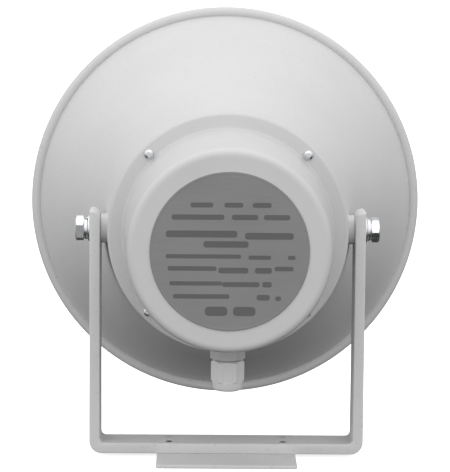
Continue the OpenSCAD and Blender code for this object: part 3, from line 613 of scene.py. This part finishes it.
def bolt_column(angle):
    """Shank and hex head, from the shank's end to the crown's dish."""
    flat_r = BOLT_AF / 2
    corner = hex_out(BOLT_AF, angle)
    face_r = flat_r * 0.95
    drop = (corner - face_r) * math.tan(math.radians(30))
    foot = (corner - flat_r * 0.98) * 0.5
    return [
        (0, -15 * MM), (BOLT_R - 0.5 * MM, -15 * MM), (BOLT_R, -14.5 * MM), (BOLT_R, 0),
        (flat_r * 0.9, 0), (flat_r * 0.9, 0.35 * MM), (flat_r * 0.98, 0.38 * MM), (corner, 0.38 * MM + foot),
        (corner, BOLT_HEAD_H - drop), (face_r, BOLT_HEAD_H), (face_r * 0.8, BOLT_HEAD_H),
        (face_r * 0.72, BOLT_HEAD_H - 0.25 * MM), (0, BOLT_HEAD_H - 0.3 * MM)]


def make_bolts(material):
    """Hex heads with a chamfered crown and a shallow dish, on plain shanks, each turned its own way."""
    under = LEG_OUT + FLAT_T + SPRING_T
    bm = bmesh.new()
    for side, turn in ((-1, math.radians(24)), (1, math.radians(49))):
        start = Vector((0, math.cos(turn), math.sin(turn)))
        revolve(bm, bolt_column, HINGE + outward(side) * under, outward(side), 144, False, start)
    piece(bm, "pivot_bolt_pair", material, HORN, ["pivot_bolts"], HEX_CREASE)


def make_flat_washers(material):
    section = [(FLAT_IN_R, 0), (FLAT_OUT_R, 0), (FLAT_OUT_R, FLAT_T), (FLAT_IN_R, FLAT_T)]
    ring = soften(section, 0.25 * MM, 3)
    bm = bmesh.new()
    for side in (-1, 1):
        revolve(bm, ring, HINGE + outward(side) * LEG_OUT, outward(side), 96)
    piece(bm, "flat_washer_pair", material, HORN, ["flat_washers"])


def make_spring_washers(material):
    """Split rings whose two ends stand a little apart."""
    inner, outer, height, rise = 4.15 * MM, 6.45 * MM, 1.55 * MM, 0.3 * MM
    opening = math.radians(9)
    section = soften([(inner, 0), (outer, 0), (outer, height), (inner, height)], 0.18 * MM, 2)
    steps = 90
    bm = bmesh.new()
    for side, first in ((-1, math.radians(150)), (1, math.radians(60))):
        base = HINGE + outward(side) * (LEG_OUT + FLAT_T)
        rings = []
        for i in range(steps + 1):
            share = i / steps
            angle = first + opening / 2 + share * (2 * math.pi - opening)
            spoke = Vector((0, math.cos(angle), math.sin(angle)))
            lift = outward(side) * (share * rise)
            rings.append([bm.verts.new(base + lift + spoke * r + outward(side) * h) for r, h in section])
        for a, b in zip(rings, rings[1:]):
            for k in range(len(section)):
                n = (k + 1) % len(section)
                bm.faces.new((a[k], a[n], b[n], b[k]))
        bm.faces.new(rings[0])
        bm.faces.new(rings[-1])
    piece(bm, "spring_washer_pair", material, HORN, ["spring_washers"])


# --- Bracket and foot -----------------------------------------------------------------------------

TAPPED_X = 25 * MM
TAPPED_R = 2.5 * MM
RIVET_X = 33 * MM
RIVET_Y = 6.5 * MM


def make_bracket(material):
    """One flat bar with two bends and softened edges, drilled for the bolts. Its legs' tops are flat, and
    rounded towards the inside."""
    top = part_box("bracket")[1].z
    inner, outer = BEND_R, BEND_OUT_R
    base = FOOT_T + BAR_T
    side = [(LEG_OUT, top), (LEG_OUT, FOOT_T + outer)]
    side += arc(LEG_OUT - outer, FOOT_T + outer, outer, 0, -90, 12)[1:]
    under = side + [(-x, z) for x, z in reversed(side)]
    rounding = arc(LEG_IN + LEG_TOP_R, top - LEG_TOP_R, LEG_TOP_R, 180, 90, 8)
    corner = arc(LEG_IN - inner, base + inner, inner, -90, 0, 10)
    inside = [(x, z) for x, z in rounding[::-1]] + corner[::-1]
    outline = under + [(-x, z) for x, z in inside] + inside[::-1]
    upright = Matrix.Translation((0, BAR_W / 2, 0)) @ Matrix.Rotation(math.pi / 2, 4, "X")
    bm = bmesh.new()
    slab(bm, outline, upright, BAR_W, 0.6 * MM, 4)
    made = piece(bm, "bracket_bar", material, BRACKET, ["bracket"])
    drill = bmesh.new()
    hole = [(0, -LEG_OUT - MM), (BOLT_R + 0.08 * MM, -LEG_OUT - MM), (BOLT_R + 0.08 * MM, LEG_OUT + MM),
            (0, LEG_OUT + MM)]
    revolve(drill, hole, HINGE, Vector((1, 0, 0)), 64, False)
    cut(made, drill)


def make_foot(material):
    """A plate with two tapped holes, and four countersunk rivet holes from below."""
    low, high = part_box("foot_plate")
    corner, steps = 2 * MM, 8
    outline = []
    for start, (x, y) in zip((0, 90, 180, 270), ((1, 1), (-1, 1), (-1, -1), (1, -1))):
        edge = high.y if y > 0 else -low.y
        outline += arc(x * (high.x - corner), y * (edge - corner), corner, start, start + 90, steps)
    bm = bmesh.new()
    slab(bm, outline, Matrix.Identity(4), FOOT_T, 0.35 * MM)
    made = piece(bm, "foot_sheet", material, BRACKET, ["foot_plate"])
    holes = bmesh.new()
    for x in (-TAPPED_X, TAPPED_X):
        hole = [(0, -MM), (TAPPED_R, -MM), (TAPPED_R, FOOT_T + MM), (0, FOOT_T + MM)]
        revolve(holes, hole, Vector((x, 0, 0)), Vector((0, 0, 1)), 48, False)
    for x in (-RIVET_X, RIVET_X):
        for y in (-RIVET_Y, RIVET_Y):
            sink = scaled([(0, -1), (4, -1), (3.4, 0), (2, 1.4), (2, 3), (0, 3)])
            revolve(holes, sink, Vector((x, y, 0)), Vector((0, 0, 1)), 48, False)
    cut(made, holes)


# --- Rear cap -------------------------------------------------------------------------------------

CAP_BASE_R = 59 * MM
CAP_END_R = 54.9 * MM
CAP_WALL = 3 * MM
SHOULDER_R = 4.5 * MM
SCREW_CIRCLE_R = 63.5 * MM
GLAND_PAD_R = 10.3 * MM
GLAND_U = FLANGE.y - GLAND_Y


def cap_r(u):
    """The cap's outer radius, a straight taper from its flange to its rounded shoulder."""
    return CAP_BASE_R + (CAP_BASE_R - CAP_END_R) * u / (CAP_DEPTH - SHOULDER_R)


GLAND_SEAT = cap_r(GLAND_U) + 1 * MM


def make_cap(material):
    """A thin turned shell with a flange, and the gland's flat seat below it."""
    end = -CAP_DEPTH
    outside = [(0, end), (CAP_END_R, end, SHOULDER_R), (CAP_BASE_R, 0, 2.2 * MM), (FLANGE_R, 0, 2 * MM),
               (FLANGE_R, CAP_FLANGE_T, 0.3 * MM), (CAP_BASE_R - CAP_WALL, CAP_FLANGE_T, 0.3 * MM)]
    inside = [(CAP_END_R - CAP_WALL, end + CAP_WALL, 3.5 * MM), (0, end + CAP_WALL)]
    bm = bmesh.new()
    revolve(bm, soften(outside + inside, steps=10, closed=False), FLANGE, FORWARD, 240, False)
    root = cap_r(GLAND_U) - 6 * MM
    pad = soften([(0, root), (GLAND_PAD_R, root), (GLAND_PAD_R, GLAND_SEAT, 0.6 * MM), (0, GLAND_SEAT)],
                 closed=False, steps=4)
    revolve(bm, pad, Vector((0, GLAND_Y, AXIS_Z)), DOWN, 96, False)
    piece(bm, "cap_shell", material, HORN, ["rear_cap"])


def make_cap_screws(material):
    """Pan heads with a cross recess."""
    head_r, head_h, length = 2.8 * MM, 2.2 * MM, 10 * MM
    crown = [(0, -head_h), (head_r * 0.55, -head_h, 0.8 * MM), (head_r, -head_h * 0.55, 0.7 * MM),
             (head_r, 0, 0.1 * MM), (1.5 * MM, 0), (1.5 * MM, length), (0, length)]
    places = []
    for turn in (45, 135, 225, 315):
        angle = math.radians(turn)
        places.append(FLANGE + Vector((math.cos(angle), 0, math.sin(angle))) * SCREW_CIRCLE_R)
    bm = bmesh.new()
    for at in places:
        revolve(bm, soften(crown, closed=False, steps=6), at, FORWARD, 48, False)
    made = piece(bm, "cap_screw_set", material, HORN, ["cap_screws"])
    for quarter in (0, 90):
        slots = bmesh.new()
        for k, at in enumerate(places):
            spin = Matrix.Rotation(math.radians(20 + 47 * k + quarter), 4, "Y")
            stand = Matrix.Rotation(math.pi / 2, 4, "X")
            place = Matrix.Translation(at - FORWARD * (head_h - 1.1 * MM)) @ spin @ stand
            bar = [(-1.5, -0.26), (1.5, -0.26), (1.5, 0.26), (-1.5, 0.26)]
            slab(slots, scaled(bar), place @ Matrix.Translation((0, 0, -3 * MM)), 3 * MM)
        cut(made, slots)


# --- Rating plate ---------------------------------------------------------------------------------

# Plain bars in place of print: middle x, middle z, length and height, in millimetres from the plate's
# middle, with x to the right as seen from behind
PLAIN_BARS = [
    (-15, 25.0, 12, 2.6), (2, 25.0, 10, 2.6), (17, 25.0, 10, 2.6),
    (-17, 18.5, 28, 2.8), (8, 18.5, 14, 2.8), (25, 18.5, 14, 2.8),
    (-15, 9.5, 38, 3.6), (21, 8.5, 26, 3.6), (-2, 4.0, 24, 3.4),
    (-14, -2.5, 40, 2.2), (16, -3.0, 12, 2.2), (33, -3.0, 4, 2.2),
    (-20, -9.0, 26, 2.4), (2, -10.0, 16, 3.0), (18, -10.0, 9, 3.0), (29, -9.0, 10, 2.4),
    (-18, -17.0, 28, 2.2), (6, -17.5, 20, 2.6), (20, -17.5, 5, 3.0),
    (-15, -24.0, 30, 2.4), (18, -24.5, 7, 3.0), (26, -25.0, 3, 2.4),
    (-7, -32.0, 12, 5.0), (8, -32.0, 12, 5.0),
]


def make_plate(material, ink):
    """A disc with a raised rim, and plain bars on its sunk face."""
    low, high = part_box("rating_plate")
    radius, thick = (high.x - low.x) / 2, high.y - low.y
    bm = bmesh.new()
    face_rings = [(radius * k / 10, -thick * 0.85) for k in range(9, -1, -1)]
    profile = [(0, 0), (radius, 0), (radius, -thick, 0.2 * MM), (radius - 1.1 * MM, -thick),
               (radius - 1.2 * MM, -thick * 0.85), *face_rings]
    at = Vector((0, low.y, AXIS_Z))
    revolve(bm, soften(profile, closed=False, steps=4), at, FORWARD, 192, False)
    piece(bm, "rating_disc", material, HORN, ["rating_plate"])
    marks = bmesh.new()
    face = Matrix.Translation((0, low.y + thick * 0.86, AXIS_Z)) @ Matrix.Rotation(-math.pi / 2, 4, "X")
    for x, z, long, tall in scaled(PLAIN_BARS):
        corners = [(-long / 2, -tall / 2), (long / 2, -tall / 2), (long / 2, tall / 2), (-long / 2, tall / 2)]
        outline = soften(corners, tall * 0.45, 4)
        slab(marks, outline, face @ Matrix.Translation((-x, -z, 0)), 0.06 * MM)
    piece(marks, "rating_marks", ink, HORN, [])


# --- Cable gland ----------------------------------------------------------------------------------

GLAND_TOP = Vector((0, GLAND_Y, AXIS_Z))
GLAND_NECK_R = 6 * MM
GLAND_SEAL_R = 4.45 * MM
COLLAR_LOW = GLAND_SEAT + 1 * MM
COLLAR_AF = 16.8 * MM
COLLAR_H = 7 * MM
NUT_AF = 16 * MM
NUT_HEX_H = 12 * MM
NUT_END_H = 4.8 * MM
BORE_R = 3.25 * MM
REARWARD = Vector((0, 1, 0))


def collar_column(angle):
    """The collar, its neck inside the nut and its tail through the cap's wall."""
    out = hex_out(COLLAR_AF, angle)
    face_r = COLLAR_AF / 2 * 0.97
    nip = (out - face_r) * 0.55
    low, high = COLLAR_LOW, COLLAR_LOW + COLLAR_H
    bore, tail = BORE_R + 0.5 * MM, GLAND_SEAT - 9 * MM
    return [(bore, tail), (GLAND_NECK_R, tail), (GLAND_NECK_R, low), (face_r, low), (out, low + nip),
            (out, high - nip), (face_r, high), (GLAND_NECK_R, high), (GLAND_NECK_R, high + 9.9 * MM),
            (GLAND_SEAL_R, high + 9.9 * MM), (GLAND_SEAL_R, high + 2 * MM), (bore, high + 2 * MM)]


def nut_column(angle):
    """The dome nut: a hexagon that runs out into a round end, a little wider than the flats."""
    out = hex_out(NUT_AF, angle)
    flat = NUT_AF / 2
    start = COLLAR_LOW + COLLAR_H + 0.4 * MM
    shoulder = start + NUT_HEX_H
    end = shoulder + NUT_END_H
    face_r, round_r, round_end, end_r = flat * 0.97, flat * 1.05, flat * 1.03, flat * 0.86
    top_nip = (out - face_r) * 0.6
    crown = max(out - round_r, 0) * 0.9
    inner = GLAND_NECK_R + 0.05 * MM
    return [(inner, start), (face_r, start), (out, start + top_nip), (out, shoulder - crown),
            (round_r, shoulder + 0.1 * MM), (round_r - 0.05 * MM, shoulder + 0.5 * MM),
            (round_end, end - 1.8 * MM), (round_end - 0.25 * MM, end - 1.1 * MM),
            (round_end - 0.65 * MM, end - 0.45 * MM), (end_r, end - 0.05 * MM), (end_r - 0.6 * MM, end),
            (BORE_R + 0.9 * MM, end), (BORE_R + 0.2 * MM, end - 0.7 * MM),
            (BORE_R + 0.2 * MM, end - 2.1 * MM), (GLAND_SEAL_R, end - 2.2 * MM),
            (GLAND_SEAL_R, start + 10.3 * MM), (inner, start + 10.2 * MM)]


def make_gland(material, nut_material):
    bm = bmesh.new()
    revolve(bm, collar_column, GLAND_TOP, DOWN, 144, True, REARWARD)
    piece(bm, "gland_collar", material, HORN, ["gland_body"], HEX_CREASE)
    bm = bmesh.new()
    revolve(bm, nut_column, GLAND_TOP, DOWN, 144, True, REARWARD)
    piece(bm, "gland_dome_nut", nut_material, HORN, ["gland_nut"], HEX_CREASE)


# --- Throat and reflector -------------------------------------------------------------------------


DOME_R = 47 * MM
DOME_DEPTH = 40 * MM
# how far round its quarter the dome goes before the flat at the nose
DOME_TURN = math.radians(79.2)
NOSE_HOLE_R = 2.7 * MM
REFLECTOR_WALL = 2 * MM


def make_reflector(material):
    """The folded horn's centre: a thin shell with a rolled rear lip and a domed nose."""
    low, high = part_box("reflector")
    rear_u, nose_u = FLANGE.y - high.y, FLANGE.y - low.y
    lip_r = (high.x - low.x) / 2
    waist_u = nose_u - DOME_DEPTH

    def dome(inset):
        radius, depth = DOME_R - inset, (DOME_DEPTH - inset) / math.sin(DOME_TURN)
        turns = [DOME_TURN * i / 30 for i in range(31)]
        return [(radius * math.cos(a), waist_u + depth * math.sin(a)) for a in turns]

    bead = 1.75 * MM
    rim = arc(lip_r - bead, rear_u + bead, bead, 150, 372, 18)
    nose = [(NOSE_HOLE_R, nose_u), (NOSE_HOLE_R, nose_u - REFLECTOR_WALL)]
    profile = rim + dome(0) + nose + dome(REFLECTOR_WALL)[::-1]
    bm = bmesh.new()
    revolve(bm, profile, FLANGE, FORWARD, 224)
    piece(bm, "reflector_shell", material, HORN, ["reflector"])


def make_throat_tube(material):
    """A flanged tube that widens towards the front."""
    low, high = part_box("throat_tube")
    rear_u, front_u = FLANGE.y - high.y, FLANGE.y - low.y
    flange_r, throat_r, end_r, wall = (high.x - low.x) / 2, 12.5 * MM, 21 * MM, 2 * MM
    outline = [(throat_r, rear_u), (flange_r, rear_u, 0.3 * MM), (flange_r, rear_u + 3 * MM, 0.6 * MM),
               (throat_r + 3.2 * MM, rear_u + 3 * MM, 1.5 * MM),
               (throat_r + 2.8 * MM, rear_u + 9 * MM, 4 * MM),
               (end_r + wall, front_u, 0.3 * MM), (end_r, front_u, 0.3 * MM)]
    bm = bmesh.new()
    revolve(bm, soften(outline, steps=5), FLANGE, FORWARD, 160)
    piece(bm, "throat_pipe", material, HORN, ["throat_tube"])


# --- Nodes that keep their CAD shape --------------------------------------------------------------


def paint_nodes(finishes):
    """Gives each named node of the frame its material."""
    for material, nodes in finishes:
        for name in nodes:
            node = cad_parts[name]
            node.data.materials.clear()
            node.data.materials.append(material)


make_camera()
make_world()
make_floor()

paint = powder_coat("grey_powder_coat", 0.66)
bar_paint = powder_coat("bar_powder_coat", 0.70)
cap_plastic = moulded_plastic("cap_plastic", 0.635, 0.42)
# Painted shade: the gland's collar, which sits under the cap, gets a grey darker than the cap's plastic.
nylon_grey_painted_shade = moulded_plastic("gland_nylon_painted_shade", 0.50, 0.42)
nut_grey = moulded_plastic("gland_nut_nylon", 0.76, 0.38)
zinc = plated_steel("bright_zinc", (0.80, 0.81, 0.83), 0.24)
screw_zinc = plated_steel("screw_zinc", (0.72, 0.73, 0.75), 0.26)
steel = plated_steel("passivated_steel", (0.42, 0.43, 0.45), 0.34)
aluminium = machined("bare_aluminium", (0.68, 0.68, 0.69), 0.32)
brass = machined("turned_brass", (0.72, 0.50, 0.20), 0.25)
dark_rubber = rubber("black_rubber", 0.025)
grey_rubber = rubber("grey_rubber", 0.09)
label = printed_plate("rating_print", 0.26)
ink = printed_plate("rating_bars", 0.13)
black_plastic = moulded_plastic("black_plastic", 0.03, 0.45)

make_bell(paint)
make_bolts(zinc)
make_flat_washers(zinc)
make_spring_washers(zinc)
make_bracket(bar_paint)
make_foot(bar_paint)
make_cap(cap_plastic)
make_cap_screws(screw_zinc)
make_plate(label, ink)
make_gland(nylon_grey_painted_shade, nut_grey)
make_reflector(paint)
make_throat_tube(paint)

paint_nodes([
    (bar_paint, ["foot_rivets"]),
    (paint, ["reflector_spider"]),
    (zinc, ["reflector_screw", "chassis_screws"]),
    (steel, ["bulkhead_screws", "throat_screws", "driver_screws", "top_plate", "yoke",
             "chassis_pillars", "chassis_plate", "transformer_clamps"]),
    (aluminium, ["bulkhead", "throat_plate"]),
    (brass, ["pivot_inserts", "terminal_screws"]),
    (grey_rubber, ["cap_gasket", "gland_washer", "tube_gasket"]),
    (dark_rubber, ["gland_seal", "surround"]),
    (nylon_grey_painted_shade, ["gland_locknut"]),
    (black_plastic, ["phase_plug", "diaphragm_ring"]),
    (ferrite_black("ferrite"), ["magnet_ring"]),
    (cloth_resin("phenolic_cloth"), ["diaphragm"]),
    (winding("enamelled_copper"), ["voice_coil", "transformer_coil"]),
    (laminations("laminated_core"), ["transformer_core"]),
    (glazed("glazed_ceramic"), ["terminal_block"]),
    (insulation("red_insulation", (0.45, 0.03, 0.02)), ["line_wires"]),
    (insulation("black_insulation", (0.02, 0.02, 0.02)), ["coil_wires"]),
])
